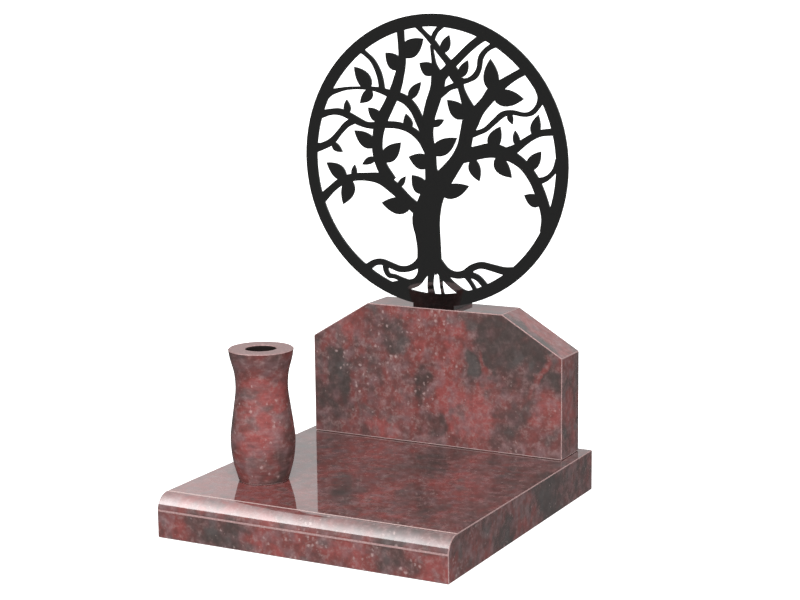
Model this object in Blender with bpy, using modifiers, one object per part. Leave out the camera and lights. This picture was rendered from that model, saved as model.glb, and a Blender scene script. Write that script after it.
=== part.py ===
"""Headstone for a family memorial, as separate solids.

A thick polished granite slab lies on the ground, its upper front edge rounded. A six sided
granite tablet stands on it near the back. A ring of black steel plate, cut as a tree with its
roots and leaves, stands on the tablet on a small black foot plate, and a turned granite vase
with a drilled bore stands at the front left.

Metres, +Z up, the front faces -Y, and the origin is the middle of the slab's underside.
"""

import math

import bmesh
import bpy
from mathutils import Vector
from mathutils.geometry import delaunay_2d_cdt

# Gap left between pieces that rest on each other
SEAT_GAP = 0.0003

# Edges and faces: what counts as sharp, what counts as flat, and points that count as one
SHARP_ANGLE = math.radians(30)
FLAT_ANGLE = math.radians(2)
SAME_POINT = 0.00001

# Base slab
BASE_WIDTH = 0.740
BASE_DEPTH = 0.790
BASE_HEIGHT = 0.100
BASE_FRONT_ROUND = 0.038
BASE_ROUND_STEPS = 12

# Width of the small chamfer that takes the sharpness off the stone's edges
STONE_ARRIS = 0.002

# Tablet: upright shoulders, then slopes up to a flat top
TABLET_WIDTH = 0.685
TABLET_SHOULDER_HEIGHT = 0.250
TABLET_HEIGHT = 0.345
TABLET_TOP_WIDTH = 0.370
TABLET_THICKNESS = 0.105
TABLET_BACK_MARGIN = 0.022

# Foot plate that carries the ring on the tablet's flat top
FOOT_WIDTH = 0.112
FOOT_THICKNESS = 0.010
FOOT_SET_BACK = 0.001

# Ring with the tree, one flat plate
RING_RADIUS = 0.355
RING_BAND = 0.031
RING_PLATE = 0.005
RING_STEPS = 96

# Vase, its bore down its middle and its axis set in from the slab's left side and its front
VASE_HEIGHT = 0.312
VASE_RIM_RADIUS = 0.076
VASE_NECK_RADIUS = 0.061
VASE_BELLY_RADIUS = 0.0755
VASE_FOOT_RADIUS = 0.0575
VASE_BORE_RADIUS = 0.036
VASE_BORE_DEPTH = 0.200
VASE_ARRIS = 0.002
VASE_STEPS = 48
VASE_FROM_SIDE = 0.1505
VASE_FROM_FRONT = 0.218
VASE_WALL_STEPS = 2

# Points along each stretch of a curved stroke and along each side of a leaf
STROKE_STEPS = 4
LEAF_STEPS = 8

# Power that draws the widest part of a leaf towards its base: 1 leaves it halfway
LEAF_FULLNESS = 0.7

# How far right of the ring's centre the tree's own centre lies, as a share of the ring's radius
TREE_SHIFT_SHARE = -0.003

# Finishes: polished red granite and gloss black paint on steel
GRANITE_COLOUR = (0.20, 0.085, 0.08)
GRANITE_ROUGHNESS = 0.12
STEEL_COLOUR = (0.02, 0.02, 0.02)
STEEL_ROUGHNESS = 0.25

# The tree's strokes. Each stop is (right, up, width), in shares of the ring's radius from its centre.
STROKE_SHARES = {
    "trunk": [(-0.04, -0.77, 0.13), (-0.03, -0.70, 0.18), (-0.03, -0.60, 0.18), (-0.04, -0.50, 0.19),
              (-0.052, -0.40, 0.21), (-0.02, -0.28, 0.18), (0.01, -0.20, 0.17), (0.03, -0.12, 0.16)],
    "stem": [(0.01, -0.15, 0.13), (-0.01, -0.05, 0.09), (-0.015, 0.05, 0.085), (-0.035, 0.18, 0.085),
             (-0.025, 0.30, 0.09), (0.005, 0.40, 0.10), (0.04, 0.50, 0.10), (0.055, 0.60, 0.11)],
    "left bough": [(-0.08, -0.36, 0.09), (-0.19, -0.28, 0.08), (-0.30, -0.19, 0.09), (-0.40, -0.135, 0.08),
                   (-0.50, -0.125, 0.06), (-0.60, -0.13, 0.055), (-0.68, -0.15, 0.06), (-0.74, -0.18, 0.055),
                   (-0.80, -0.225, 0.055), (-0.86, -0.28, 0.065), (-0.90, -0.32, 0.07)],
    "left limb": [(-0.32, -0.15, 0.09), (-0.39, -0.05, 0.085), (-0.425, 0.06, 0.08), (-0.42, 0.17, 0.08),
                  (-0.392, 0.27, 0.09), (-0.336, 0.37, 0.08), (-0.285, 0.47, 0.08), (-0.25, 0.57, 0.07),
                  (-0.225, 0.68, 0.055), (-0.23, 0.80, 0.05), (-0.235, 0.88, 0.055), (-0.24, 0.92, 0.06)],
    "left high arm": [(-0.28, 0.44, 0.06), (-0.38, 0.473, 0.045), (-0.46, 0.487, 0.03), (-0.56, 0.49, 0.022),
                      (-0.66, 0.484, 0.025), (-0.74, 0.468, 0.035), (-0.80, 0.45, 0.05), (-0.85, 0.42, 0.07)],
    "left high hook": [(-0.381, 0.46, 0.045), (-0.391, 0.54, 0.043), (-0.413, 0.61, 0.042),
                       (-0.455, 0.68, 0.036), (-0.513, 0.728, 0.034), (-0.56, 0.76, 0.045)],
    "left middle arm": [(-0.40, 0.235, 0.06), (-0.50, 0.235, 0.045), (-0.58, 0.262, 0.055),
                        (-0.65, 0.297, 0.05), (-0.72, 0.32, 0.05), (-0.80, 0.317, 0.047), (-0.90, 0.29, 0.06)],
    "left low fork": [(-0.60, 0.268, 0.05), (-0.67, 0.232, 0.045), (-0.73, 0.172, 0.04), (-0.79, 0.112, 0.05),
                      (-0.86, 0.078, 0.053), (-0.93, 0.06, 0.07)],
    "inner low arch": [(-0.38, 0.243, 0.05), (-0.26, 0.24, 0.05), (-0.16, 0.21, 0.052), (-0.08, 0.15, 0.06),
                       (-0.02, 0.06, 0.07)],
    "inner high arch": [(-0.29, 0.45, 0.06), (-0.20, 0.415, 0.065), (-0.14, 0.36, 0.065),
                        (-0.10, 0.29, 0.065), (-0.06, 0.20, 0.06), (-0.03, 0.12, 0.06)],
    "top left twig": [(0.035, 0.60, 0.08), (0.02, 0.66, 0.037), (0.01, 0.72, 0.025), (0.00, 0.79, 0.02)],
    "top cross": [(0.205, 0.54, 0.06), (0.17, 0.60, 0.08), (0.13, 0.672, 0.05), (0.066, 0.742, 0.044),
                  (0.01, 0.81, 0.045), (-0.05, 0.865, 0.032), (-0.12, 0.93, 0.04)],
    "top hook": [(0.005, 0.81, 0.03), (0.02, 0.855, 0.032), (0.045, 0.89, 0.032), (0.09, 0.93, 0.04)],
    "crown tie": [(0.04, 0.55, 0.08), (0.10, 0.605, 0.07), (0.16, 0.66, 0.06)],
    "stem tie": [(0.04, 0.44, 0.05), (0.09, 0.48, 0.05), (0.14, 0.508, 0.04), (0.21, 0.53, 0.05)],
    "top right arm": [(0.12, 0.63, 0.06), (0.20, 0.70, 0.054), (0.28, 0.772, 0.054), (0.36, 0.83, 0.055),
                      (0.42, 0.86, 0.06)],
    "top right wave": [(0.20, 0.545, 0.05), (0.27, 0.558, 0.035), (0.325, 0.588, 0.04), (0.355, 0.64, 0.036),
                       (0.368, 0.71, 0.038), (0.41, 0.762, 0.034), (0.47, 0.795, 0.04), (0.52, 0.80, 0.045)],
    "crown fork": [(0.29, 0.34, 0.10), (0.25, 0.43, 0.062), (0.222, 0.50, 0.047), (0.205, 0.57, 0.06)],
    "right limb": [(0.04, -0.16, 0.15), (0.12, -0.07, 0.12), (0.19, 0.02, 0.10), (0.24, 0.11, 0.10),
                   (0.262, 0.20, 0.10), (0.295, 0.29, 0.12), (0.35, 0.36, 0.085), (0.405, 0.42, 0.078),
                   (0.46, 0.485, 0.09), (0.53, 0.54, 0.07), (0.60, 0.583, 0.056), (0.66, 0.615, 0.055),
                   (0.71, 0.64, 0.06)],
    "right wave": [(0.27, 0.19, 0.06), (0.33, 0.205, 0.04), (0.40, 0.232, 0.035), (0.47, 0.29, 0.038),
                   (0.53, 0.338, 0.042), (0.60, 0.352, 0.033), (0.68, 0.34, 0.03), (0.74, 0.353, 0.035),
                   (0.785, 0.40, 0.036), (0.81, 0.46, 0.06), (0.80, 0.52, 0.08)],
    "right bough": [(0.18, 0.02, 0.07), (0.25, 0.05, 0.095), (0.35, 0.077, 0.095), (0.45, 0.095, 0.10),
                    (0.55, 0.075, 0.085), (0.63, 0.04, 0.076), (0.695, -0.01, 0.07), (0.757, -0.09, 0.072),
                    (0.795, -0.165, 0.075), (0.83, -0.26, 0.075), (0.85, -0.35, 0.08), (0.84, -0.44, 0.08)],
    "right twig": [(0.56, 0.08, 0.08), (0.625, 0.115, 0.06), (0.68, 0.155, 0.05), (0.74, 0.193, 0.045),
                   (0.80, 0.22, 0.047), (0.87, 0.23, 0.048), (0.92, 0.235, 0.055)],
    "right hook": [(0.78, -0.10, 0.05), (0.83, -0.085, 0.04), (0.875, -0.055, 0.032), (0.91, -0.01, 0.035),
                   (0.93, 0.05, 0.04)],
    "left root": [(-0.05, -0.66, 0.12), (-0.12, -0.715, 0.06), (-0.19, -0.75, 0.046), (-0.26, -0.757, 0.046),
                  (-0.33, -0.737, 0.045), (-0.40, -0.717, 0.045), (-0.46, -0.727, 0.048),
                  (-0.52, -0.765, 0.055), (-0.56, -0.78, 0.055)],
    "left root loop": [(-0.375, -0.72, 0.042), (-0.37, -0.77, 0.04), (-0.345, -0.808, 0.036),
                       (-0.30, -0.813, 0.033), (-0.25, -0.83, 0.035), (-0.20, -0.85, 0.05)],
    "left low root": [(-0.06, -0.72, 0.12), (-0.09, -0.79, 0.07), (-0.13, -0.84, 0.065), (-0.19, -0.862, 0.068),
                      (-0.26, -0.87, 0.065), (-0.33, -0.88, 0.05)],
    "middle root": [(-0.015, -0.76, 0.05), (-0.021, -0.83, 0.042), (-0.021, -0.87, 0.045),
                    (-0.01, -0.94, 0.055)],
    "thin root": [(0.06, -0.77, 0.03), (0.061, -0.84, 0.02), (0.068, -0.88, 0.02), (0.08, -0.94, 0.025)],
    "right low root": [(0.045, -0.73, 0.07), (0.10, -0.80, 0.055), (0.16, -0.85, 0.052), (0.23, -0.89, 0.05),
                       (0.29, -0.90, 0.05)],
    "right root": [(0.02, -0.69, 0.10), (0.10, -0.747, 0.056), (0.17, -0.77, 0.05), (0.24, -0.758, 0.055),
                   (0.30, -0.712, 0.05), (0.37, -0.69, 0.048), (0.45, -0.702, 0.05), (0.54, -0.718, 0.055),
                   (0.62, -0.715, 0.06)],
    "right root fork": [(0.24, -0.765, 0.05), (0.30, -0.765, 0.045), (0.35, -0.785, 0.045),
                        (0.40, -0.835, 0.045), (0.42, -0.86, 0.05)],
    "right root twig": [(0.25, -0.775, 0.03), (0.28, -0.805, 0.03), (0.312, -0.85, 0.03),
                        (0.325, -0.88, 0.035)],
}

# The leaves. Each is its base, its tip, and how far its left and right sides swell, seen from base to
# tip: the places in shares of the ring's radius, the swell in shares of the leaf's length.
LEAF_SHARES = [
    ((-0.235, 0.625), (-0.352, 0.735), 0.34, 0.32),
    ((-0.23, 0.715), (-0.062, 0.832), 0.30, 0.31),
    ((-0.48, 0.475), (-0.60, 0.635), 0.21, 0.31),
    ((-0.465, 0.485), (-0.557, 0.384), 0.33, 0.22),
    ((-0.66, 0.305), (-0.664, 0.407), 0.26, 0.28),
    ((-0.395, 0.265), (-0.494, 0.357), 0.29, 0.30),
    ((-0.43, 0.095), (-0.606, 0.195), 0.31, 0.20),
    ((-0.44, 0.005), (-0.547, -0.041), 0.18, 0.27),
    ((-0.40, -0.005), (-0.243, 0.124), 0.22, 0.32),
    ((-0.265, -0.185), (-0.209, -0.108), 0.22, 0.23),
    ((-0.165, -0.31), (-0.397, -0.30), 0.30, 0.22),
    ((-0.68, -0.155), (-0.833, -0.037), 0.22, 0.30),
    ((-0.65, -0.14), (-0.704, -0.327), 0.32, 0.22),
    ((-0.615, -0.135), (-0.608, -0.043), 0.25, 0.22),
    ((-0.785, 0.108), (-0.703, 0.04), 0.18, 0.33),
    ((-0.175, 0.21), (-0.20, 0.322), 0.29, 0.32),
    ((-0.175, 0.42), (-0.084, 0.54), 0.24, 0.20),
    ((0.02, 0.597), (-0.091, 0.668), 0.36, 0.36),
    ((0.08, 0.735), (0.133, 0.857), 0.25, 0.28),
    ((0.205, 0.575), (0.272, 0.692), 0.22, 0.27),
    ((0.457, 0.485), (0.438, 0.703), 0.28, 0.23),
    ((0.455, 0.455), (0.682, 0.443), 0.24, 0.27),
    ((0.27, 0.315), (0.116, 0.424), 0.36, 0.22),
    ((-0.01, 0.25), (0.091, 0.29), 0.20, 0.28),
    ((-0.01, 0.06), (0.187, 0.17), 0.21, 0.28),
    ((-0.01, -0.01), (-0.181, 0.028), 0.36, 0.27),
    ((-0.045, -0.215), (-0.158, -0.097), 0.37, 0.30),
    ((0.05, -0.205), (0.277, -0.153), 0.17, 0.28),
    ((0.305, 0.035), (0.354, -0.117), 0.22, 0.32),
    ((0.45, 0.095), (0.51, 0.257), 0.34, 0.22),
    ((0.485, 0.065), (0.593, -0.084), 0.18, 0.37),
    ((0.637, 0.13), (0.618, 0.234), 0.25, 0.22),
    ((0.58, 0.352), (0.599, 0.273), 0.18, 0.33),
    ((0.765, 0.19), (0.787, 0.343), 0.29, 0.18),
    ((0.71, -0.03), (0.806, 0.102), 0.27, 0.26),
    ((0.82, -0.24), (0.685, -0.194), 0.38, 0.24),
]


def make_material(name, colour, roughness):
    """One Principled material."""
    material = bpy.data.materials.new(name)
    material.use_nodes = True
    shader = material.node_tree.nodes["Principled BSDF"]
    shader.inputs["Base Color"].default_value = (*colour, 1.0)
    shader.inputs["Roughness"].default_value = roughness
    material.diffuse_color = (*colour, 1.0)
    return material


def add_object(name, mesh, material, place, collection):
    """An object for the mesh, with its material and place."""
    obj = bpy.data.objects.new(name, mesh)
    mesh.materials.append(material)
    obj.location = place
    collection.objects.link(obj)
    return obj


def mesh_from(name, work):
    """A mesh from a working bmesh, its faces pointing out."""
    bmesh.ops.recalc_face_normals(work, faces=work.faces)
    mesh = bpy.data.meshes.new(name)
    work.to_mesh(mesh)
    work.free()
    return mesh


def add_arris(obj, width):
    """A one step chamfer on every sharp edge."""
    chamfer = obj.modifiers.new("arris", "BEVEL")
    chamfer.width = width
    chamfer.segments = 1
    chamfer.limit_method = "ANGLE"
    chamfer.angle_limit = SHARP_ANGLE
    chamfer.use_clamp_overlap = True


def build_base_slab(material, collection):
    """The slab: a block whose upper front edge is a quarter round."""
    work = bmesh.new()
    bmesh.ops.create_cube(work, size=1.0)
    bmesh.ops.scale(work, vec=(BASE_WIDTH, BASE_DEPTH, BASE_HEIGHT), verts=work.verts)
    front_edge = [
        edge for edge in work.edges if all(vert.co.y < 0 < vert.co.z for vert in edge.verts)
    ]
    bmesh.ops.bevel(
        work, geom=front_edge, offset=BASE_FRONT_ROUND, segments=BASE_ROUND_STEPS,
        profile=0.5, affect="EDGES",
    )
    slab = add_object("base_slab", mesh_from("base_slab", work), material, (0, 0, BASE_HEIGHT / 2), collection)
    add_arris(slab, STONE_ARRIS)
    return slab


def build_tablet(material, collection):
    """The tablet: a six sided outline in the XZ plane, given its thickness along Y."""
    half_width = TABLET_WIDTH / 2
    half_top = TABLET_TOP_WIDTH / 2
    right_side = [(half_width, 0), (half_width, TABLET_SHOULDER_HEIGHT), (half_top, TABLET_HEIGHT)]
    outline = right_side + [(-x, z) for x, z in reversed(right_side)]
    work = bmesh.new()
    face = work.faces.new([work.verts.new((x, -TABLET_THICKNESS / 2, z)) for x, z in outline])
    thickened = bmesh.ops.extrude_face_region(work, geom=[face])["geom"]
    moved = [item for item in thickened if isinstance(item, bmesh.types.BMVert)]
    bmesh.ops.translate(work, vec=(0, TABLET_THICKNESS, 0), verts=moved)
    place = (0, tablet_middle_y(), BASE_HEIGHT + SEAT_GAP)
    tablet = add_object("headstone_tablet", mesh_from("headstone_tablet", work), material, place, collection)
    add_arris(tablet, STONE_ARRIS)
    return tablet


def tablet_middle_y():
    """The tablet's middle, set by its thickness and its margin to the slab's back."""
    return BASE_DEPTH / 2 - TABLET_BACK_MARGIN - TABLET_THICKNESS / 2


def tablet_front_y():
    return tablet_middle_y() - TABLET_THICKNESS / 2


def foot_underside_z():
    return BASE_HEIGHT + TABLET_HEIGHT + 2 * SEAT_GAP


def build_foot_plate(material, collection):
    """The foot: a flat bar as deep as the tablet, less a small set back at each face."""
    depth = TABLET_THICKNESS - 2 * FOOT_SET_BACK
    work = bmesh.new()
    bmesh.ops.create_cube(work, size=1.0)
    bmesh.ops.scale(work, vec=(FOOT_WIDTH, depth, FOOT_THICKNESS), verts=work.verts)
    place = (0, tablet_middle_y(), foot_underside_z() + FOOT_THICKNESS / 2)
    return add_object("ring_foot_plate", mesh_from("ring_foot_plate", work), material, place, collection)


def smooth_stops(stops, steps):
    """Catmull-Rom points through the stops, with `steps` points to each stretch."""
    ends = [2 * Vector(stops[0]) - Vector(stops[1])]
    ends += [Vector(stop) for stop in stops]
    ends += [2 * Vector(stops[-1]) - Vector(stops[-2])]
    points = []
    for before, start, finish, after in zip(ends, ends[1:], ends[2:], ends[3:]):
        for step in range(steps):
            t = step / steps
            points.append(
                0.5 * (2 * start + (finish - before) * t
                       + (2 * before - 5 * start + 4 * finish - after) * t ** 2
                       + (3 * start - before - 3 * finish + after) * t ** 3)
            )
    points.append(ends[-2])
    return points


def stroke_quads(stops):
    """A stroke of changing width along a smooth line, as a row of four sided cells."""
    points = smooth_stops(stops, STROKE_STEPS)
    sides = []
    for index, point in enumerate(points):
        back = points[max(index - 1, 0)]
        ahead = points[min(index + 1, len(points) - 1)]
        along = (ahead - back).xy.normalized()
        across = Vector((-along.y, along.x)) * point.z / 2
        sides.append((point.xy + across, point.xy - across))
    return [[near[0], near[1], far[1], far[0]] for near, far in zip(sides, sides[1:])]


def leaf_swell(t):
    """Share of a leaf's full swell at the share t from base to tip, fullest nearer the base."""
    fullest = LEAF_FULLNESS / (1 + LEAF_FULLNESS)
    return t ** LEAF_FULLNESS * (1 - t) / (fullest ** LEAF_FULLNESS * (1 - fullest))


def leaf_outline(base, tip, left_swell, right_swell):
    """A leaf between two points, with its own swell to each side."""
    base, tip = Vector(base), Vector(tip)
    along = tip - base
    left = Vector((-along.y, along.x))
    shares = [step / LEAF_STEPS for step in range(1, LEAF_STEPS)]
    left_side = [base + along * t + left * left_swell * leaf_swell(t) for t in shares]
    right_side = [base + along * t - left * right_swell * leaf_swell(t) for t in reversed(shares)]
    return [base, *left_side, tip, *right_side]


def band_quads():
    """The round band, as a row of four sided cells between its inner and outer circles."""
    inner = 1 - RING_BAND / RING_RADIUS
    angles = [2 * math.pi * step / RING_STEPS for step in range(RING_STEPS)]
    rim = [Vector((math.sin(angle), math.cos(angle))) for angle in angles]
    return [[a, b, b * inner, a * inner] for a, b in zip(rim, rim[1:] + rim[:1])]


def signed_area(outline):
    """Area of an outline, above zero where it runs anticlockwise."""
    following = outline[1:] + outline[:1]
    return sum(here.cross(after) for here, after in zip(outline, following)) / 2


def union_triangles(outlines):
    """Points and triangles of the area that the overlapping outlines cover together."""
    outlines = [outline if signed_area(outline) > 0 else outline[::-1] for outline in outlines]
    points = []
    faces = []
    for outline in outlines:
        faces.append(list(range(len(points), len(points) + len(outline))))
        points += outline
    merged, _, triangles, _, _, owners = delaunay_2d_cdt(points, [], faces, 0, SAME_POINT)
    return merged, [corners for corners, owner in zip(triangles, owners) if owner]


def ring_centre_height():
    """The ring's centre, so that the chord cut off at the foot's top is as wide as the foot."""
    drop = math.sqrt(RING_RADIUS ** 2 - (FOOT_WIDTH / 2) ** 2)
    return foot_underside_z() + FOOT_THICKNESS + SEAT_GAP + drop


def build_tree_ring(material, collection):
    """The ring: the band, the strokes and the leaves as one flat outline, cut level at the foot."""
    tree = [leaf_outline(*leaf) for leaf in LEAF_SHARES]
    for stops in STROKE_SHARES.values():
        tree += stroke_quads(stops)
    shift = Vector((TREE_SHIFT_SHARE, 0))
    moved_tree = [[point + shift for point in outline] for outline in tree]
    points, triangles = union_triangles(band_quads() + moved_tree)

    work = bmesh.new()
    verts = [work.verts.new((point.x * RING_RADIUS, 0, point.y * RING_RADIUS)) for point in points]
    for corners in triangles:
        work.faces.new([verts[corner] for corner in corners])
    cut_height = -math.sqrt(RING_RADIUS ** 2 - (FOOT_WIDTH / 2) ** 2)
    bmesh.ops.bisect_plane(
        work, geom=work.verts[:] + work.edges[:] + work.faces[:], dist=SAME_POINT,
        plane_co=(0, 0, cut_height), plane_no=(0, 0, -1), clear_outer=True,
    )
    loose = [vert for vert in work.verts if not vert.link_faces]
    bmesh.ops.delete(work, geom=loose, context="VERTS")
    bmesh.ops.dissolve_limit(
        work, angle_limit=FLAT_ANGLE, use_dissolve_boundaries=False,
        verts=work.verts, edges=work.edges,
    )
    bmesh.ops.triangulate(work, faces=work.faces)
    thickened = bmesh.ops.extrude_face_region(work, geom=work.faces[:])["geom"]
    moved = [item for item in thickened if isinstance(item, bmesh.types.BMVert)]
    bmesh.ops.translate(work, vec=(0, RING_PLATE, 0), verts=moved)
    place = (0, tablet_front_y() + FOOT_SET_BACK, ring_centre_height())
    return add_object("tree_ring", mesh_from("tree_ring", work), material, place, collection)


def vase_wall():
    """The vase's outer profile from the rim down, as (radius, height).

    Each stop is a radius, the share of it, and the share of the height.
    """
    stops = [
        (VASE_RIM_RADIUS, 1.00, 1.00), (VASE_RIM_RADIUS, 0.95, 0.93), (VASE_NECK_RADIUS, 1.04, 0.82),
        (VASE_NECK_RADIUS, 1.00, 0.70), (VASE_NECK_RADIUS, 1.08, 0.57), (VASE_BELLY_RADIUS, 0.96, 0.42),
        (VASE_BELLY_RADIUS, 1.00, 0.31), (VASE_BELLY_RADIUS, 0.95, 0.17), (VASE_FOOT_RADIUS, 1.10, 0.06),
        (VASE_FOOT_RADIUS, 1.00, 0.00),
    ]
    line = [(radius * part, share * VASE_HEIGHT, 0) for radius, part, share in stops]
    return [(point.x, point.y) for point in smooth_stops(line, VASE_WALL_STEPS)]


def build_vase(material, collection):
    """The vase: a profile turned about Z, up the bore's wall from inside and down the outer side."""
    bore_floor = VASE_HEIGHT - VASE_BORE_DEPTH
    below_rim = VASE_HEIGHT - VASE_ARRIS
    profile = [(0, bore_floor), (VASE_BORE_RADIUS, bore_floor), (VASE_BORE_RADIUS, below_rim)]
    profile += [(VASE_BORE_RADIUS + VASE_ARRIS, VASE_HEIGHT), (VASE_RIM_RADIUS - VASE_ARRIS, VASE_HEIGHT)]
    profile += [(VASE_RIM_RADIUS, below_rim), *vase_wall()[1:-1], (VASE_FOOT_RADIUS, VASE_ARRIS)]
    profile += [(VASE_FOOT_RADIUS - VASE_ARRIS, 0), (0, 0)]
    work = bmesh.new()
    verts = [work.verts.new((radius, 0, height)) for radius, height in profile]
    for upper, lower in zip(verts, verts[1:]):
        work.edges.new((upper, lower))
    mesh = bpy.data.meshes.new("vase")
    work.to_mesh(mesh)
    work.free()
    place = (VASE_FROM_SIDE - BASE_WIDTH / 2, VASE_FROM_FRONT - BASE_DEPTH / 2, BASE_HEIGHT + SEAT_GAP)
    vase = add_object("vase", mesh, material, place, collection)
    turn = vase.modifiers.new("turn", "SCREW")
    turn.steps = VASE_STEPS
    turn.render_steps = VASE_STEPS
    turn.use_merge_vertices = True
    turn.merge_threshold = SAME_POINT
    turn.use_smooth_shade = True
    return vase


def main():
    for obj in list(bpy.data.objects):
        bpy.data.objects.remove(obj)
    collection = bpy.data.collections.new("headstone")
    bpy.context.scene.collection.children.link(collection)
    slab_stone = make_material("slab_granite", GRANITE_COLOUR, GRANITE_ROUGHNESS)
    tablet_stone = make_material("tablet_granite", GRANITE_COLOUR, GRANITE_ROUGHNESS)
    vase_stone = make_material("vase_granite", GRANITE_COLOUR, GRANITE_ROUGHNESS)
    ring_black = make_material("ring_black_steel", STEEL_COLOUR, STEEL_ROUGHNESS)
    foot_black = make_material("foot_black_steel", STEEL_COLOUR, STEEL_ROUGHNESS)
    build_base_slab(slab_stone, collection)
    build_tablet(tablet_stone, collection)
    build_foot_plate(foot_black, collection)
    build_tree_ring(ring_black, collection)
    build_vase(vase_stone, collection)


main()
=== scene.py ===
"""Looks for the headstone: polished red granite slab, tablet and vase, and a gloss black tree ring.

Metres, +Z up, the front faces -Y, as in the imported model.
"""

import math

import bpy
import numpy as np
from mathutils import Matrix, Vector


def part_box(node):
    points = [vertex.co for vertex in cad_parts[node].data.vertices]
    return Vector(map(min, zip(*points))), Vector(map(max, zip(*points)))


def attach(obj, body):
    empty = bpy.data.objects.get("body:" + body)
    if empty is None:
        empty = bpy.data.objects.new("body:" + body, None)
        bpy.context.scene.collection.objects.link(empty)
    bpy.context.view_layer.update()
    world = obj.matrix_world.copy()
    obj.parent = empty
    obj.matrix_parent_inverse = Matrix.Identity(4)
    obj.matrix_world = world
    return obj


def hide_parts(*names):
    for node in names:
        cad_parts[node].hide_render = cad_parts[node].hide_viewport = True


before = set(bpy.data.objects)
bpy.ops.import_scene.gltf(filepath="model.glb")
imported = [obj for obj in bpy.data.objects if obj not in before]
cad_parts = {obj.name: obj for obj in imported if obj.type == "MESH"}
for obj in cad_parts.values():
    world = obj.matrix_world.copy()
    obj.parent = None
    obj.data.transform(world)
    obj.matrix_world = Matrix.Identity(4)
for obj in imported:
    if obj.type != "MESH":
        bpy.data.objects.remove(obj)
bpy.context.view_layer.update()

# Camera, fitted to the photo: heading to the right of straight ahead, rise above level and roll in
# radians, then distance and focal length
CAMERA_HEADING = 0.49059
CAMERA_RISE = 0.18161
CAMERA_ROLL = -0.01134
CAMERA_DISTANCE = 3.78958
CAMERA_FOCAL_PX = 1839.48
CAMERA_TARGET = Vector((0.26169, -0.395, 0.59796))
IMAGE_WIDTH_PX = 800
SENSOR_MM = 36.0
CAMERA_CLIP_END = 200.0

# Arris: a chamfer of this width on granite edges that turn by more than the sharp angle
ARRIS_WIDTH = 0.002
SHARP_ANGLE = math.radians(30)

# Slab: the round, how many of its first steps are the lower ground line, and the upper line's width
FRONT_ROUND = 0.038
ROUND_STEPS = 40
LOWER_LINE_STEPS = 3
UPPER_LINE_WIDTH = 0.0060

# Tablet
SHOULDER_HEIGHT = 0.250
TABLET_TOP_WIDTH = 0.370

# Vase, radii and depth of the bore
RIM_RADIUS = 0.076
NECK_RADIUS = 0.061
BELLY_RADIUS = 0.0755
FOOT_RADIUS = 0.0575
BORE_RADIUS = 0.036
BORE_DEPTH = 0.200
VASE_TURN_STEPS = 144
VASE_STRETCH_STEPS = 8

# The vase's outer side from the rim down: a radius, the share of it, and the share of the height
VASE_WALL = [
    (RIM_RADIUS, 1.00, 1.00), (RIM_RADIUS, 0.95, 0.93), (NECK_RADIUS, 1.04, 0.82),
    (NECK_RADIUS, 1.00, 0.70), (NECK_RADIUS, 1.08, 0.57), (BELLY_RADIUS, 0.96, 0.42),
    (BELLY_RADIUS, 1.00, 0.31), (BELLY_RADIUS, 0.95, 0.17), (FOOT_RADIUS, 1.10, 0.06),
    (FOOT_RADIUS, 1.00, 0.00),
]

# Material slots: the polished stone and the arris, then the slab's line, or the vase's bore and rim
STONE_SLOT, ARRIS_SLOT, LINE_SLOT = 0, 1, 2
BORE_SLOT, RIM_SLOT = 2, 3

# The stone's colours: its body by redness, from charcoal to brick red, then what lies over it
BODY_COLOURS = [
    (0.0, "#463D3B"), (0.2, "#4D3D3B"), (0.42, "#5C403E"), (0.6, "#6B413F"), (0.8, "#78423F"),
    (1.0, "#874947"),
]
MIST_COLOUR = "#786062"
SLATE_COLOUR = "#565150"
PALE_FLECK_COLOUR = "#967C7A"
DARK_FLECK_COLOUR = "#3A2B2B"
FELDSPAR_COLOUR = "#B49C99"
GROUND_LINE_COLOUR = "#B09A98"
GROUND_LINE_HEIGHT = 0.003

# How a turned piece draws the stone out level, and the two polishes. The machine polish mirrors
# more than granite's own IOR of 1.55 would
TURNED_DRAW = (0.70, 0.70, 1.0)
MACHINE_POLISH = {"Roughness": 0.03, "IOR": 1.8, "Specular IOR Level": 0.5}
HAND_POLISH = {"Roughness": 0.15, "IOR": 1.5, "Specular IOR Level": 0.3}

# Soft box, low and far to the left of the front, with its brightness by the cosine of the angle off
# its middle
BOX_HEADING = math.radians(-68)
BOX_RISE = math.radians(4)
BOX_BRIGHTNESS = 9.0
BOX_GLOW = [
    (0.0, 0.08), (0.2, 0.11), (0.3, 0.14), (0.4, 0.19), (0.5, 0.29), (0.6, 0.43), (0.7, 0.67),
    (0.78, 0.92), (0.9, 1.0),
]

# The mirrored wall under the lit part, and the room as it lights the stone
WALL_BRIGHTNESS = 0.35
ROOM_BRIGHTNESS = 0.36

# Wide soft panels in front and behind: name, heading and rise in degrees, strength
PANELS = [("front_panel", 24, 32, 4.15), ("back_panel", 200, 14, 1.6)]
PANEL_WIDTH = math.radians(60)

# Floor: how far it runs to each side, how far it lies under the slab, and its own glow
FLOOR_REACH = 90.0
FLOOR_DROP = 0.0005
FLOOR_GLOW = 0.8

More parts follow.
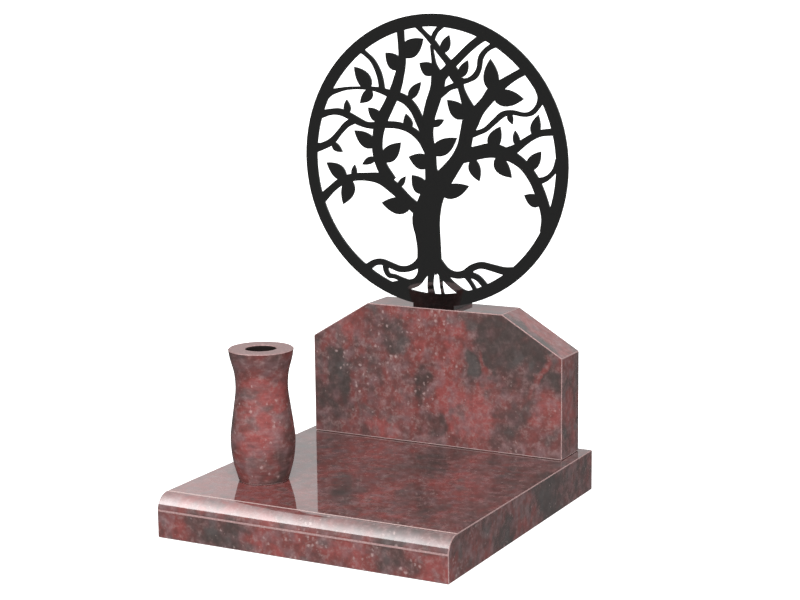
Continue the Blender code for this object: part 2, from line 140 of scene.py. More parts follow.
# Large drifts in the stone, and a painted reflection on the tablet, painted light and shade on the
# vase: centre and reach in metres, turn in degrees, and redness from -1, charcoal, to 1, brick red.
# The part thickest with feldspar is a centre and a reach
TABLET_DRIFTS_AND_PAINTED_REFLECTION = [
    ((0.230, 0.255, 0.360), (0.150, 0.06, 0.110), (0, 0, 0), -0.48),
    ((-0.098, 0.268, 0.362), (0.058, 0.10, 0.045), (0, 0, 0), -0.34),
    ((-0.268, 0.268, 0.250), (0.045, 0.10, 0.075), (0, 0, 0), -0.48),
    ((-0.300, 0.268, 0.170), (0.075, 0.10, 0.060), (0, 0, 0), -0.32),
    ((0.205, 0.268, 0.165), (0.055, 0.08, 0.070), (0, 0, 0), -0.30),
    ((-0.038, 0.268, 0.262), (0.030, 0.08, 0.065), (0, 0, 0), -0.37),
    ((0.005, 0.268, 0.138), (0.040, 0.08, 0.025), (0, 0, 0), -0.34),
    ((0.102, 0.268, 0.308), (0.022, 0.06, 0.032), (0, 0, 0), -0.52),
    ((0.325, 0.268, 0.300), (0.040, 0.08, 0.045), (0, 0, 0), -0.23),
    ((0.005, 0.268, 0.390), (0.075, 0.12, 0.090), (0, 10, 0), 0.37),
    ((0.042, 0.268, 0.285), (0.050, 0.10, 0.090), (0, 0, 0), 0.41),
    ((0.090, 0.268, 0.180), (0.095, 0.10, 0.085), (0, 0, 0), 0.53),
    ((-0.140, 0.268, 0.135), (0.090, 0.10, 0.035), (0, 0, 0), 0.37),
    ((-0.140, 0.268, 0.250), (0.070, 0.10, 0.050), (0, 0, 0), 0.18),
    ((0.315, 0.268, 0.205), (0.060, 0.06, 0.050), (0, 0, 0), 0.39),
    ((-0.260, 0.268, 0.375), (0.080, 0.10, 0.050), (0, -28, 0), 0.23),
    ((0.100, 0.268, 0.375), (0.035, 0.05, 0.050), (0, -40, 0), 0.30),
    ((0.134, 0.268, 0.300), (0.016, 0.05, 0.060), (0, 0, 0), 0.46),
    ((0.280, 0.268, 0.312), (0.018, 0.05, 0.080), (0, 32, 0), 0.55),
    # Partly the stone's red and partly a painted reflection: a lighter, redder band across the
    # lower front, up to where the slab's mirror image ends
    ((0.020, 0.268, 0.170), (0.420, 0.10, 0.090), (0, 0, 0), 0.10),
    ((0.265, 0.335, 0.405), (0.140, 0.060, 0.080), (0, 0, 0), 0.63),
    ((0.000, 0.330, 0.445), (0.280, 0.070, 0.030), (0, 0, 0), 0.80),
    ((0.342, 0.300, 0.250), (0.030, 0.030, 0.200), (0, 0, 0), 0.29),
    ((0.342, 0.370, 0.250), (0.030, 0.030, 0.200), (0, 0, 0), -0.23),
]
TABLET_SPECKLED = ((-0.10, 0.32, 0.32), (0.28, 0.30, 0.22))
SLAB_DRIFTS = [
    ((-0.200, -0.395, 0.030), (0.090, 0.08, 0.070), (0, 0, 0), -0.42),
    ((0.235, -0.395, 0.045), (0.040, 0.06, 0.040), (0, 0, 0), -0.34),
    ((-0.330, -0.395, 0.030), (0.045, 0.06, 0.060), (0, 0, 0), 0.25),
    ((-0.080, -0.395, 0.035), (0.060, 0.06, 0.050), (0, 0, 0), 0.26),
    ((0.010, -0.395, 0.040), (0.040, 0.06, 0.040), (0, 0, 0), 0.22),
    ((0.135, -0.395, 0.020), (0.060, 0.06, 0.045), (0, 0, 0), 0.32),
    ((0.330, -0.395, 0.035), (0.060, 0.05, 0.060), (0, 0, 0), 0.28),
    ((0.050, -0.395, 0.040), (0.500, 0.04, 0.090), (0, 0, 0), 0.12),
    ((0.370, -0.012, 0.060), (0.060, 0.105, 0.080), (0, 0, 0), 0.30),
    ((0.370, -0.227, 0.030), (0.050, 0.065, 0.035), (0, 0, 0), 0.30),
    ((0.370, 0.138, 0.045), (0.060, 0.095, 0.080), (0, 0, 0), -0.50),
    ((0.370, -0.125, 0.030), (0.050, 0.060, 0.045), (0, 0, 0), -0.42),
    ((0.370, 0.280, 0.050), (0.050, 0.110, 0.080), (0, 0, 0), -0.16),
    ((0.370, 0.378, 0.060), (0.050, 0.040, 0.060), (0, 0, 0), 0.20),
    ((-0.150, -0.290, 0.100), (0.300, 0.150, 0.050), (0, 0, 0), 0.42),
    ((-0.340, -0.150, 0.100), (0.110, 0.240, 0.060), (0, 0, 0), 0.34),
    ((-0.290, -0.300, 0.100), (0.200, 0.160, 0.060), (0, 0, 0), 0.36),
    ((-0.130, 0.020, 0.100), (0.120, 0.260, 0.060), (0, 0, 0), 0.30),
    ((0.050, 0.160, 0.100), (0.075, 0.150, 0.060), (0, 0, 0), -0.32),
    ((0.010, -0.235, 0.100), (0.055, 0.070, 0.060), (0, 0, -20), -0.34),
    ((0.150, 0.180, 0.100), (0.035, 0.080, 0.060), (0, 0, 0), 0.34),
    ((0.215, -0.010, 0.100), (0.060, 0.110, 0.060), (0, 0, 14), 0.36),
    ((0.085, -0.165, 0.100), (0.055, 0.080, 0.060), (0, 0, 20), 0.46),
    ((0.340, 0.090, 0.100), (0.040, 0.140, 0.060), (0, 0, 6), -0.36),
    ((0.245, -0.260, 0.100), (0.035, 0.090, 0.060), (0, 0, 8), -0.34),
    ((0.170, -0.290, 0.100), (0.050, 0.080, 0.060), (0, 0, 0), 0.34),
]
SLAB_SPECKLED = ((0.10, -0.395, 0.03), (0.36, 0.10, 0.10))
# On the vase, the lighter, redder lenses down the side facing the camera and on its right flank are
# partly the stone's red and partly painted light; the dark strip the full height of its left flank
# and the dark band round its foot are painted shade
VASE_DRIFTS_AND_PAINTED_LIGHT = [
    ((-0.190, -0.240, 0.325), (0.055, 0.060, 0.055), (0, 0, 0), 0.42),
    ((-0.175, -0.240, 0.205), (0.070, 0.060, 0.085), (0, 0, 0), 0.46),
    ((-0.156, -0.200, 0.270), (0.032, 0.050, 0.130), (0, 0, 0), 0.40),
    ((-0.152, -0.205, 0.155), (0.030, 0.045, 0.045), (0, 0, 0), -0.32),
    ((-0.285, -0.200, 0.250), (0.035, 0.060, 0.250), (0, 0, 0), -0.20),
    ((-0.190, -0.240, 0.250), (0.100, 0.080, 0.140), (0, 0, 0), 0.16),
    ((-0.200, -0.220, 0.385), (0.060, 0.060, 0.040), (0, 0, 0), 0.18),
    ((-0.220, -0.177, 0.105), (0.100, 0.100, 0.035), (0, 0, 0), -0.30),
]
VASE_SPECKLED = ((-0.19, -0.230, 0.25), (0.09, 0.10, 0.16))


def linear(hex_colour):
    """An sRGB hex colour as linear RGBA: each channel c becomes ((c + 0.055) / 1.055) to the power
    2.4, or c / 12.92 where it is nearly black."""
    channels = [int(hex_colour[i:i + 2], 16) / 255 for i in (1, 3, 5)]
    return (*[c / 12.92 if c <= 0.04045 else ((c + 0.055) / 1.055) ** 2.4 for c in channels], 1.0)


def grey(value):
    """A neutral linear RGBA colour."""
    return (value, value, value, 1.0)


def add(tree, kind, inputs=None, stops=(), **settings):
    """One node of the tree. Inputs are constants or the outputs that feed them, stops a ramp's
    (place, colour) pairs, settings the node's own properties."""
    node = tree.nodes.new("ShaderNode" + kind)
    for name, value in settings.items():
        setattr(node, name, value)
    for place, colour in stops[2:]:
        node.color_ramp.elements.new(place)
    for element, (place, colour) in zip(node.color_ramp.elements if stops else (), stops):
        element.position = place
        element.color = colour
    for key, value in (inputs or {}).items():
        if isinstance(value, bpy.types.NodeSocket):
            tree.links.new(value, node.inputs[key])
        else:
            node.inputs[key].default_value = value
    return node


def new_material(name):
    """An empty material, its node tree and its shader."""
    material = bpy.data.materials.new(name)
    material.use_nodes = True
    return material, material.node_tree, material.node_tree.nodes["Principled BSDF"]


def way_to(heading, rise):
    """The unit vector (sin h cos r, -cos h cos r, sin r), h to the right of straight ahead of the
    front and r above level."""
    return Vector((math.sin(heading) * math.cos(rise), -math.cos(heading) * math.cos(rise),
                   math.sin(rise)))


def lens(tree, point, centre, reach, turn):
    """A soft lens of mineral: 1 well inside the ellipsoid of that centre, reach and turn, 0 outside
    it, fading from 0.4 to 1.2 of its reach."""
    inside = add(tree, "Mapping", {
        "Vector": point, "Location": centre, "Scale": reach,
        "Rotation": [math.radians(angle) for angle in turn],
    }, vector_type="TEXTURE").outputs["Vector"]
    distance = add(tree, "VectorMath", {0: inside}, operation="LENGTH").outputs["Value"]
    return add(tree, "MapRange", {
        "Value": distance, "From Min": 0.4, "From Max": 1.2, "To Min": 1.0, "To Max": 0.0,
    }, interpolation_type="SMOOTHSTEP").outputs["Result"]


def bent_place(tree, place, stone):
    """The place moved to and fro by noise, so that a drift's border bends by up to 20 mm over
    140 mm and frays over 40 mm.

    Place + 0.12 bend + 0.06 fray - 0.09, which is half of both reaches, as noise runs about 0.5.
    """
    bend = add(tree, "TexNoise", {"Vector": stone, "Scale": 7.0, "Detail": 1.0}).outputs["Color"]
    fray = add(tree, "TexNoise", {"Vector": stone, "Scale": 24.0, "Detail": 2.0}).outputs["Color"]
    bent = add(tree, "VectorMath", {0: bend, 1: (0.12, 0.12, 0.12), 2: place},
               operation="MULTIPLY_ADD").outputs["Vector"]
    bent = add(tree, "VectorMath", {0: fray, 1: (0.06, 0.06, 0.06), 2: bent},
               operation="MULTIPLY_ADD").outputs["Vector"]
    return add(tree, "VectorMath", {0: bent, 1: (0.09, 0.09, 0.09)},
               operation="SUBTRACT").outputs["Vector"]


def stone_redness(tree, stone, bent, drifts_and_painted_light):
    """How red the stone is: 0.9 clouds + 0.9 blotches - 0.4, the clouds 80 mm and the blotches
    28 mm wide, and each listed lens times its own redness on top: the stone's large drifts, and
    also a painted reflection on the tablet and painted light and shade on the vase."""
    clouds = add(tree, "TexNoise", {"Vector": stone, "Scale": 12.0, "Detail": 2.0}).outputs["Fac"]
    blotches = add(tree, "TexNoise", {"Vector": stone, "Scale": 36.0, "Detail": 1.5}).outputs["Fac"]
    redness = add(tree, "Math", {0: clouds, 1: 0.9, 2: -0.4},
                  operation="MULTIPLY_ADD").outputs["Value"]
    redness = add(tree, "Math", {0: blotches, 1: 0.9, 2: redness},
                  operation="MULTIPLY_ADD").outputs["Value"]
    for centre, reach, turn, amount in drifts_and_painted_light:
        here = lens(tree, bent, centre, reach, turn)
        redness = add(tree, "Math", {0: here, 1: amount, 2: redness},
                      operation="MULTIPLY_ADD").outputs["Value"]
    return redness


def feldspar_specks(tree, place, stone, bent, speckled):
    """The size of each ragged speck less the distance from its middle, in cells 11 mm wide.

    The size is a random number of the cell's own times a drift of 60 mm, which is 0.2 higher in
    the speckled part.
    """
    ragged = add(tree, "TexNoise", {"Vector": place, "Scale": 200.0, "Detail": 2.0})
    ragged = add(tree, "VectorMath", {
        0: ragged.outputs["Color"], 1: (0.008, 0.008, 0.008), 2: place,
    }, operation="MULTIPLY_ADD").outputs["Vector"]
    cells = add(tree, "TexVoronoi", {"Vector": ragged, "Scale": 88.0, "Randomness": 1.0})
    pick = add(tree, "SeparateColor", {"Color": cells.outputs["Color"]}).outputs["Red"]
    drift = add(tree, "TexNoise", {"Vector": stone, "Scale": 17.0, "Detail": 3.0}).outputs["Fac"]
    drift = add(tree, "Math", {0: lens(tree, bent, *speckled, (0, 0, 0)), 1: 0.2, 2: drift},
                operation="MULTIPLY_ADD").outputs["Value"]
    size = add(tree, "Math", {0: pick, 1: drift}, operation="MULTIPLY").outputs["Value"]
    size = add(tree, "MapRange", {
        "Value": size, "From Min": 0.31, "From Max": 0.72, "To Min": 0.0, "To Max": 0.5,
    }).outputs["Result"]
    return add(tree, "Math", {0: size, 1: cells.outputs["Distance"]},
               operation="SUBTRACT").outputs["Value"]


def mineral_over(tree, body, amount, start, full, most, colour, clear=None):
    """The body with a mineral's colour laid over it: none of it where the amount is `start`, the
    share `most` where it is `full`, and less where `clear` is given and low."""
    share = add(tree, "MapRange", {
        "Value": amount, "From Min": start, "From Max": full, "To Min": 0.0, "To Max": most,
    }).outputs["Result"]
    if clear is not None:
        share = add(tree, "Math", {0: share, 1: clear}, operation="MULTIPLY").outputs["Value"]
    return add(tree, "Mix", {"Factor": share, "A": body, "B": linear(colour)},
               data_type="RGBA").outputs["Result"]


def polished_granite(name, shift, drifts_and_painted_light, speckled, turned=False, ground_foot=-1.0):
    """Red granite, sawn and polished to a mirror: brown charcoal and crimson run into each other
    in wide drifts, mottled with lilac grey mist, islands of slate grey and fine flecks, and dotted
    with pale feldspar.

    The polish leaves no relief, so there is no bump, only a clear mirror. Centre, reach, turn and
    redness are given for each large drift, and for the painted reflection and the painted light and
    shade among them, centre and reach for the speckled part. A turned piece shows the stone drawn
    out level round it, and is polished by hand to a weaker, softer mirror.
    The lowest 3 mm above the height ground_foot is a hand ground line that reads pale.
    """
    material, tree, shader = new_material(name)
    place = add(tree, "TexCoord").outputs["Object"]
    # Each piece shows its own part of the block
    stone = add(tree, "Mapping", {
        "Vector": place, "Location": shift, "Scale": TURNED_DRAW if turned else (1.0, 1.0, 1.0),
    }).outputs["Vector"]
    bent = bent_place(tree, place, stone)
    redness = stone_redness(tree, stone, bent, drifts_and_painted_light)
    body = add(tree, "ValToRGB", {"Fac": redness}, stops=[
        (share, linear(colour)) for share, colour in BODY_COLOURS]).outputs["Color"]
    # Smooth charcoal holds little of the mist and the pale flecks
    clear = add(tree, "MapRange", {
        "Value": redness, "From Min": 0.1, "From Max": 0.5, "To Min": 0.25, "To Max": 1.0,
    }).outputs["Result"]

    # Mist in patches 30 mm wide, and slate islands 50 mm apart
    mist = add(tree, "TexNoise", {"Vector": stone, "Scale": 30.0, "Detail": 2.0}).outputs["Fac"]
    body = mineral_over(tree, body, mist, 0.46, 0.68, 0.65, MIST_COLOUR, clear)
    slate = add(tree, "TexNoise", {"Vector": stone, "Scale": 20.0, "Detail": 3.0}).outputs["Fac"]
    body = mineral_over(tree, body, slate, 0.55, 0.68, 0.6, SLATE_COLOUR)

    # Flecks from 13 mm down to 1 mm wide, pale at one end of their range and dark at the other
    flecks = add(tree, "TexNoise", {
        "Vector": stone, "Scale": 75.0, "Detail": 4.0, "Roughness": 0.68,
    }).outputs["Fac"]
    body = mineral_over(tree, body, flecks, 0.50, 0.74, 0.6, PALE_FLECK_COLOUR, clear)
    body = mineral_over(tree, body, flecks, 0.48, 0.25, 0.42, DARK_FLECK_COLOUR)
    if turned:
        # Streaks 5 mm high and 30 mm round, lighter and darker than the body
        streaks = add(tree, "Mapping", {"Vector": place, "Scale": (30.0, 30.0, 200.0)})
        streaks = add(tree, "TexNoise", {
            "Vector": streaks.outputs["Vector"], "Scale": 1.0, "Detail": 2.0,
        }).outputs["Fac"]
        light = add(tree, "MapRange", {
            "Value": streaks, "From Min": 0.2, "From Max": 0.8, "To Min": 0.85, "To Max": 1.15,
        }).outputs["Result"]
        body = add(tree, "VectorMath", {0: body, "Scale": light},
                   operation="SCALE").outputs["Vector"]

    # Pale feldspar specks, 3 to 6 mm wide, thickest in the speckled part
    specks = feldspar_specks(tree, place, stone, bent, speckled)
    body = mineral_over(tree, body, specks, 0.0, 0.4, 0.7, FELDSPAR_COLOUR)

    height = add(tree, "SeparateXYZ", {"Vector": place}).outputs["Z"]
    foot = add(tree, "Math", {0: height, 1: ground_foot + GROUND_LINE_HEIGHT},
               operation="LESS_THAN").outputs["Value"]
    body = add(tree, "Mix", {"Factor": foot, "A": body, "B": linear(GROUND_LINE_COLOUR)},
               data_type="RGBA").outputs["Result"]
    tree.links.new(body, shader.inputs["Base Color"])
    for socket, value in (HAND_POLISH if turned else MACHINE_POLISH).items():
        shader.inputs[socket].default_value = value
    return material


def ground_arris(name, darkest, palest):
    """The same granite where it was ground by hand and left satin, so it reads paler and pinker."""
    material, tree, shader = new_material(name)
    place = add(tree, "TexCoord").outputs["Object"]
    # Grains about 5 mm wide
    grains = add(tree, "TexNoise", {"Vector": place, "Scale": 220.0, "Detail": 2.0}).outputs["Fac"]
    colour = add(tree, "ValToRGB", {"Fac": grains},
                 stops=[(0.3, linear(darkest)), (0.7, linear(palest))])
    tree.links.new(colour.outputs["Color"], shader.inputs["Base Color"])
    shader.inputs["Roughness"].default_value = 0.4
    shader.inputs["IOR"].default_value = 1.52
    return material


def gloss_black(name):
    """Steel plate with a gloss black stove enamel: near black, a clear mirror, with a faint orange
    peel."""
    material, tree, shader = new_material(name)
    place = add(tree, "TexCoord").outputs["Object"]
    # Orange peel about 8 mm across and a few micrometres deep
    peel = add(tree, "TexNoise", {"Vector": place, "Scale": 130.0, "Detail": 1.0}).outputs["Fac"]
    colour = add(tree, "ValToRGB", {"Fac": peel},
                 stops=[(0.3, linear("#0A0A0A")), (0.7, linear("#0D0D0C"))])
    tree.links.new(colour.outputs["Color"], shader.inputs["Base Color"])
    bump = add(tree, "Bump", {"Height": peel, "Strength": 0.02, "Distance": 0.0002})
    tree.links.new(bump.outputs["Normal"], shader.inputs["Normal"])
    shader.inputs["Roughness"].default_value = 0.04
    shader.inputs["IOR"].default_value = 2.3
    return material


def shaded_drilled_stone(name):
    """The drilled bore: dull granite, rough from the core drill and ringed by the bit, near black
    as painted shade deep in the hole.
    """
    material, tree, shader = new_material(name)
    place = add(tree, "TexCoord").outputs["Object"]
    # Rings about 4 mm apart
    rings = add(tree, "Mapping", {"Vector": place, "Scale": (4.0, 4.0, 260.0)}).outputs["Vector"]
    rings = add(tree, "TexNoise", {"Vector": rings, "Scale": 1.0, "Detail": 2.0}).outputs["Fac"]
    # Painted shade: near black to dark brown for the shade deep in the bore
    colour = add(tree, "ValToRGB", {"Fac": rings},
                 stops=[(0.3, linear("#181413")), (0.7, linear("#2A2221"))])
    tree.links.new(colour.outputs["Color"], shader.inputs["Base Color"])
    shader.inputs["Roughness"].default_value = 0.95
    shader.inputs["Specular IOR Level"].default_value = 0.05
    return material


def mesh_piece(name, points, faces, materials, face_slots, smooth):
    """A piece from arrays: points, faces as lists of corners, each face's material slot and
    smoothness."""
    mesh = bpy.data.meshes.new(name)
    mesh.from_pydata(points.tolist(), [], faces)
    mesh.polygons.foreach_set("material_index", np.asarray(face_slots, np.int32))
    mesh.polygons.foreach_set("use_smooth", np.asarray(smooth, bool))
    for material in materials:
        mesh.materials.append(material)
    mesh.update()
    piece = bpy.data.objects.new(name, mesh)
    bpy.context.scene.collection.objects.link(piece)
    return piece


def prism(name, outline, axis, start, end, materials, slots, smooth_sides):
    """A block: the outline, in the two axes other than `axis`, swept from start to end along it.

    Side i joins outline points i and i + 1; after the sides come the start and the end. slots gives
    each of these faces its material.
    """
    count = len(outline)
    others = [i for i in range(3) if i != axis]
    points = np.zeros((2 * count, 3))
    points[:count, others] = outline
    points[count:, others] = outline
    points[:count, axis] = start
    points[count:, axis] = end
    near = np.arange(count)
    after = np.roll(near, -1)
    sides = np.stack([near, after, after + count, near + count], axis=1)
    faces = sides.tolist() + [near[::-1].tolist(), (near + count).tolist()]
    smooth = np.isin(np.arange(count + 2), smooth_sides)
    return mesh_piece(name, points, faces, materials, slots, smooth)


def soften(piece):
    """The arris: a narrow chamfer on each sharp edge, in its own material."""
    bevel = piece.modifiers.new("arris", "BEVEL")
    bevel.width = ARRIS_WIDTH
    bevel.segments = 1
    bevel.limit_method = "ANGLE"
    bevel.angle_limit = SHARP_ANGLE
    bevel.material = ARRIS_SLOT
    bevel.harden_normals = True


def polished_slab(stone, arris, line):
    """The slab: its side outline, with a quarter round at the upper front, swept across its width.

    The round is the set of points centre + r (-cos a, sin a), a from 0 at the front face to
    90 degrees. A ground line marks where the round meets the front face, and a paler one where it
    meets the top.
    """
    low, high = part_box("base_slab")
    turn = np.linspace(0, math.pi / 2, ROUND_STEPS + 1)
    centre = (low.y + FRONT_ROUND, high.z - FRONT_ROUND)
    arc = np.stack([centre[0] - FRONT_ROUND * np.cos(turn), centre[1] + FRONT_ROUND * np.sin(turn)],
                   axis=1)
    outline = np.vstack([
        [(low.y, low.z)], arc,
        [(centre[0] + UPPER_LINE_WIDTH, high.z), (high.y, high.z), (high.y, low.z)],
    ])
    # Sides in order: front face, the round, upper line, top, back, underside, then the two ends
    round_end = 1 + ROUND_STEPS
    slots = np.full(len(outline) + 2, STONE_SLOT)
    slots[1:1 + LOWER_LINE_STEPS] = ARRIS_SLOT
    slots[round_end] = LINE_SLOT
    piece = prism("slab_polished", outline, 0, low.x, high.x, [stone, arris, line], slots,
                  np.arange(1, round_end))
    soften(piece)
    return piece


def polished_tablet(stone, arris):
    """The tablet: a six sided outline swept through its thickness."""
    low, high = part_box("headstone_tablet")
    half_top = TABLET_TOP_WIDTH / 2
    shoulder = low.z + SHOULDER_HEIGHT
    outline = np.array([
        (low.x, low.z), (low.x, shoulder), (-half_top, high.z), (half_top, high.z),
        (high.x, shoulder), (high.x, low.z),
    ])
    slots = np.full(len(outline) + 2, STONE_SLOT)
    piece = prism("tablet_polished", outline, 1, low.y, high.y, [stone, arris], slots, [])
    soften(piece)
    return piece


def smooth_line(stops, steps):
    """Catmull-Rom points through the stops: on each stretch the cubic that leaves each stop along
    the line between its two neighbours."""
    stops = np.asarray(stops, float)
    ends = np.vstack([2 * stops[0] - stops[1], stops, 2 * stops[-1] - stops[-2]])
    before, start, finish, after = (ends[i:len(ends) - 3 + i, None, :] for i in range(4))
    t = (np.arange(steps) / steps)[None, :, None]
    points = 0.5 * (2 * start + (finish - before) * t
                    + (2 * before - 5 * start + 4 * finish - after) * t ** 2
                    + (3 * start - before - 3 * finish + after) * t ** 3)
    return np.vstack([points.reshape(-1, stops.shape[1]), stops[-1]])


def turned_vase(stone, arris, bore, rim):
    """The vase: a profile (radius, height) turned about the upright axis through its middle,
    point = middle + (radius cos a, radius sin a, height)."""
    low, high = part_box("vase")
    height = high.z - low.z
    middle = ((low.x + high.x) / 2, (low.y + high.y) / 2)
    wall = smooth_line([(radius * part, share * height) for radius, part, share in VASE_WALL],
                       VASE_STRETCH_STEPS)
    wall = wall[(wall[:, 1] < height - ARRIS_WIDTH) & (wall[:, 1] > ARRIS_WIDTH)]
    profile = np.vstack([
        [(0, height - BORE_DEPTH), (BORE_RADIUS, height - BORE_DEPTH),
         (BORE_RADIUS, height - ARRIS_WIDTH), (BORE_RADIUS + ARRIS_WIDTH, height),
         (RIM_RADIUS - ARRIS_WIDTH, height), (RIM_RADIUS, height - ARRIS_WIDTH)],
        wall,
        [(FOOT_RADIUS, ARRIS_WIDTH), (FOOT_RADIUS - ARRIS_WIDTH, 0), (0, 0)],
    ])
    # The first and the last point of the profile are poles, and each other one makes a ring
    rings = len(profile) - 2
    angle = 2 * math.pi * np.arange(VASE_TURN_STEPS) / VASE_TURN_STEPS
    radius = profile[1:-1, 0][:, None]
    grid = np.stack([
        middle[0] + radius * np.cos(angle), middle[1] + radius * np.sin(angle),
        low.z + np.repeat(profile[1:-1, 1][:, None], VASE_TURN_STEPS, axis=1),
    ], axis=-1)
    poles = [(*middle, low.z + profile[0, 1]), (*middle, low.z)]
    points = np.vstack([grid.reshape(-1, 3), poles])
    index = np.arange(rings * VASE_TURN_STEPS).reshape(rings, VASE_TURN_STEPS)
    beside = np.roll(index, -1, axis=1)
    quads = np.stack([index[:-1], index[1:], beside[1:], beside[:-1]], axis=-1).reshape(-1, 4)
    floor_pole = np.full(VASE_TURN_STEPS, len(points) - 2)
    foot_pole = np.full(VASE_TURN_STEPS, len(points) - 1)
    floor = np.stack([floor_pole, index[0], beside[0]], axis=-1).tolist()
    foot = np.stack([foot_pole, beside[-1], index[-1]], axis=-1).tolist()
    # Bands in order: the bore, its arris, the rim, its arris, the wall, then the foot's arris
    band = np.arange(rings - 1)
    foot_arris = rings - 2
    band_slot = np.where(band < 1, BORE_SLOT, STONE_SLOT)
    band_slot[[1, 3, foot_arris]] = ARRIS_SLOT
    band_slot[2] = RIM_SLOT
    slots = np.concatenate([
        np.repeat(band_slot, VASE_TURN_STEPS), np.full(len(floor), BORE_SLOT),
        np.full(len(foot), STONE_SLOT),
    ])
    flat_band = np.isin(band, (1, 2, 3, foot_arris))
    smooth = np.concatenate([
        np.repeat(~flat_band, VASE_TURN_STEPS), np.zeros(len(floor) + len(foot), bool),
    ])
    return mesh_piece("vase_turned", points, quads.tolist() + floor + foot,
                      [stone, arris, bore, rim], slots, smooth)


def place_camera():
    """The camera, turned by its heading, rise and roll about the target point."""
    back = way_to(CAMERA_HEADING, CAMERA_RISE)
    right = Vector((math.cos(CAMERA_HEADING), math.sin(CAMERA_HEADING), 0))
    up = back.cross(right)
    turned_right = math.cos(CAMERA_ROLL) * right + math.sin(CAMERA_ROLL) * up
    turned_up = math.cos(CAMERA_ROLL) * up - math.sin(CAMERA_ROLL) * right
    optics = bpy.data.cameras.new("camera")
    optics.sensor_width = SENSOR_MM
    optics.lens = CAMERA_FOCAL_PX / IMAGE_WIDTH_PX * SENSOR_MM
    optics.clip_end = CAMERA_CLIP_END
    camera = bpy.data.objects.new("camera", optics)
    camera.matrix_world = Matrix((turned_right, turned_up, back)).transposed().to_4x4()
    camera.location = CAMERA_TARGET + CAMERA_DISTANCE * back
    bpy.context.scene.collection.objects.link(camera)
    bpy.context.scene.camera = camera


def studio_light():
    """The room: white to the eye, and mirrored as a dark floor, a pale wall and a soft box."""
    world = bpy.data.worlds.new("studio")
    bpy.context.scene.world = world
    world.use_nodes = True
    tree = world.node_tree
    tree.nodes.clear()
    way = add(tree, "TexCoord").outputs["Generated"]
    axes = add(tree, "SeparateXYZ", {"Vector": way})
    # Brightness by nearness to the middle of the soft box
    near = add(tree, "VectorMath", {0: way, 1: way_to(BOX_HEADING, BOX_RISE)},
               operation="DOT_PRODUCT").outputs["Value"]
    glow = add(tree, "ValToRGB", {"Fac": near},
               stops=[(share, grey(value)) for share, value in BOX_GLOW]).outputs["Color"]
    glow = add(tree, "Math", {0: glow, 1: BOX_BRIGHTNESS}, operation="MULTIPLY").outputs["Value"]
    # It fades low down, and far out to the left
    low = add(tree, "MapRange", {
        "Value": axes.outputs["Z"], "From Min": 0.17, "From Max": 0.28, "To Min": 0.68,
        "To Max": 1.0,
    }).outputs["Result"]
    left = add(tree, "MapRange", {
        "Value": axes.outputs["X"], "From Min": -0.63, "From Max": -0.56, "To Min": 0.03,
        "To Max": 1.0,
    }).outputs["Result"]
    glow = add(tree, "Math", {0: glow, 1: low}, operation="MULTIPLY").outputs["Value"]
    glow = add(tree, "Math", {0: glow, 1: left}, operation="MULTIPLY").outputs["Value"]
    # The lit part ends at a line that is higher in front than behind, Z = 0.28 - 0.1925 Y
    edge = add(tree, "Math", {0: axes.outputs["Y"], 1: -0.1925, 2: 0.28},
               operation="MULTIPLY_ADD").outputs["Value"]
    above = add(tree, "Math", {0: axes.outputs["Z"], 1: edge},
                operation="SUBTRACT").outputs["Value"]
    lit = add(tree, "MapRange", {
        "Value": above, "From Min": -0.03, "From Max": 0.03,
    }).outputs["Result"]
    # Under it are a dim wall, and from the horizon down the floor, darker in front
    ground = add(tree, "MapRange", {
        "Value": axes.outputs["Y"], "From Min": -0.3, "From Max": 0.7, "To Min": 0.1,
        "To Max": 0.17,
    }).outputs["Result"]
    wall = add(tree, "MapRange", {
        "Value": axes.outputs["Z"], "From Min": -0.02, "From Max": 0.02,
    }).outputs["Result"]
    dim = add(tree, "Mix", {"Factor": wall, "A": ground, "B": WALL_BRIGHTNESS},
              data_type="FLOAT").outputs["Result"]
    mirrored = add(tree, "Mix", {"Factor": lit, "A": dim, "B": glow},
                   data_type="FLOAT").outputs["Result"]
    rays = add(tree, "LightPath").outputs
    strength = add(tree, "Mix", {
        "Factor": rays["Is Glossy Ray"], "A": ROOM_BRIGHTNESS, "B": mirrored,
    }, data_type="FLOAT").outputs["Result"]
    strength = add(tree, "Mix", {"Factor": rays["Is Camera Ray"], "A": strength, "B": 1.0},
                   data_type="FLOAT").outputs["Result"]
    background = add(tree, "Background", {"Color": grey(1.0), "Strength": strength})
    output = add(tree, "OutputWorld", {"Surface": background.outputs["Background"]})
    output.is_active_output = True

    for name, heading, rise, strength in PANELS:
        panel = bpy.data.lights.new(name, "SUN")
        panel.angle = PANEL_WIDTH
        panel.energy = strength
        lamp = bpy.data.objects.new(name, panel)
        towards = way_to(math.radians(heading), math.radians(rise))
        lamp.rotation_euler = towards.to_track_quat("Z", "Y").to_euler()
        lamp.visible_glossy = False
        bpy.context.scene.collection.objects.link(lamp)


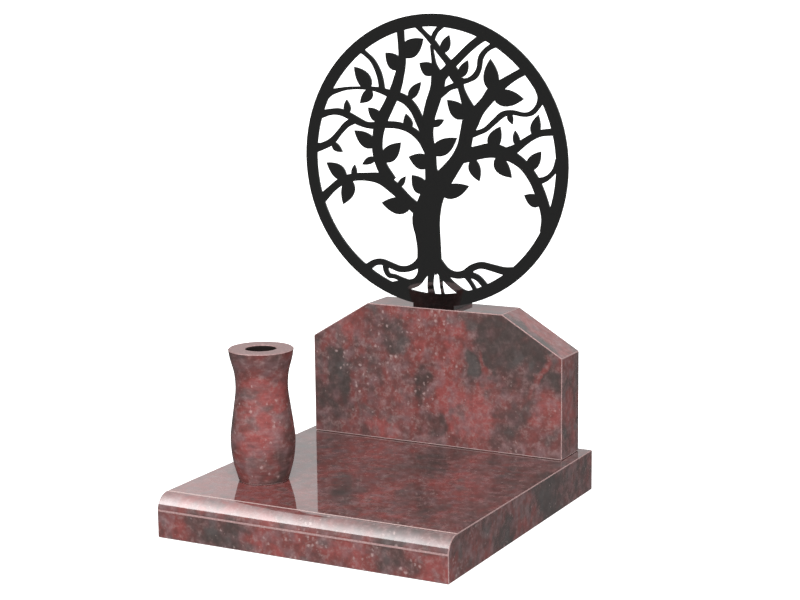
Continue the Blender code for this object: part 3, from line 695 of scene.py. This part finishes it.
def pale_floor():
    """A plain white floor under the slab, out to past the camera's view."""
    material, tree, shader = new_material("white_floor")
    shader.inputs["Base Color"].default_value = grey(0.85)
    shader.inputs["Roughness"].default_value = 1.0
    shader.inputs["Specular IOR Level"].default_value = 0.0
    shader.inputs["Emission Color"].default_value = grey(1.0)
    shader.inputs["Emission Strength"].default_value = FLOOR_GLOW
    corners = FLOOR_REACH * np.array([(-1, -1, 0), (1, -1, 0), (1, 1, 0), (-1, 1, 0)])
    floor = mesh_piece("floor", corners - (0, 0, FLOOR_DROP), [[0, 1, 2, 3]], [material], [0],
                       [False])
    floor.visible_glossy = False
    floor.visible_diffuse = False


bpy.context.scene.view_settings.view_transform = "Standard"
place_camera()
studio_light()
pale_floor()

slab_granite = polished_granite("polished_red_granite_slab", (0.3, 0.1, 0.0), SLAB_DRIFTS,
                                SLAB_SPECKLED)
# The tablet's lenses also paint a reflection across its lower front
tablet_granite = polished_granite("polished_red_granite_tablet", (2.1, 1.7, 0.5), TABLET_DRIFTS_AND_PAINTED_REFLECTION,
                                  TABLET_SPECKLED, ground_foot=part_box("headstone_tablet")[0].z)
# The vase's lenses also paint light and shade on it
vase_granite = polished_granite("polished_red_granite_vase", (4.2, 3.1, 0.9), VASE_DRIFTS_AND_PAINTED_LIGHT,
                                VASE_SPECKLED, turned=True, ground_foot=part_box("vase")[0].z)
# Ground by hand: pale along the arris, palest along the slab's line, darkest on the honed rim
arris_granite = ground_arris("ground_granite_arris", "#8A6C6B", "#AE908E")
line_granite = ground_arris("ground_granite_line", "#BC9C9A", "#E0C6C2")
rim_granite = ground_arris("honed_granite_rim", "#785A59", "#967472")
# The bore's near black is painted shade
bore_painted_shade = shaded_drilled_stone("core_drilled_granite")
black_enamel = gloss_black("gloss_black_stove_enamel")

slab = polished_slab(slab_granite, arris_granite, line_granite)
tablet = polished_tablet(tablet_granite, arris_granite)
vase = turned_vase(vase_granite, arris_granite, bore_painted_shade, rim_granite)
for piece, node in ((slab, "base_slab"), (tablet, "headstone_tablet"), (vase, "vase")):
    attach(piece, "root")
    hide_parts(node)

for node in ("tree_ring", "ring_foot_plate"):
    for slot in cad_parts[node].material_slots:
        slot.material = black_enamel
